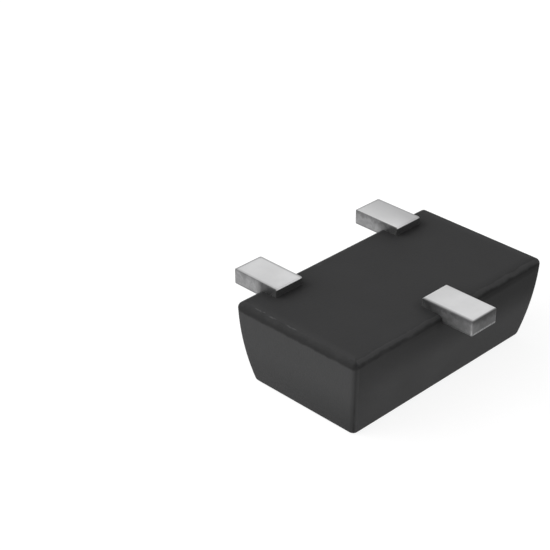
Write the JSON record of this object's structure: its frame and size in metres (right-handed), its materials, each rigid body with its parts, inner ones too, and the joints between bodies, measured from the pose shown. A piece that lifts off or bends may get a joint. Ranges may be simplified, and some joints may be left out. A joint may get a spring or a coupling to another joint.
{
  "type": "mosfet",
  "caption": "Small surface-mount transistor: a tapered black moulded block with flat tinned leads lapping under its edges, solder side up.",
  "frame": {"origin": "bottom centre of the part's box, in the plane of the marking face that it rests on", "axes": "+X along the body's length from the gate lead to the source lead, +Y toward the side with two leads, +Z from the marking face toward the solder faces"},
  "size_m": [0.003, 0.0024, 0.0011],
  "materials": {
    "moulding_compound": "fine matte texture of filled black epoxy",
    "tinned_copper": "matte tin plating on copper",
    "solder": "dull reflowed solder",
    "back_metal": "satin silver film",
    "silicon": "polished dark grey",
    "pad_metal": "bright aluminium film",
    "passivation": "clear amber film",
    "wire_metal": "smooth gold wire"
  },
  "bodies": {
    "root": {"mould_body": "moulding_compound", "gate_lead": "tinned_copper", "source_lead": "tinned_copper", "drain_lead": "tinned_copper", "die_attach": "solder", "drain_back_metal": "back_metal", "silicon_die": "silicon", "source_pad": "pad_metal", "gate_pad": "pad_metal", "passivation": "passivation", "gate_wire": "wire_metal", "source_wire_1": "wire_metal", "source_wire_2": "wire_metal", "source_wire_3": "wire_metal"}
  },
  "joints": []
}
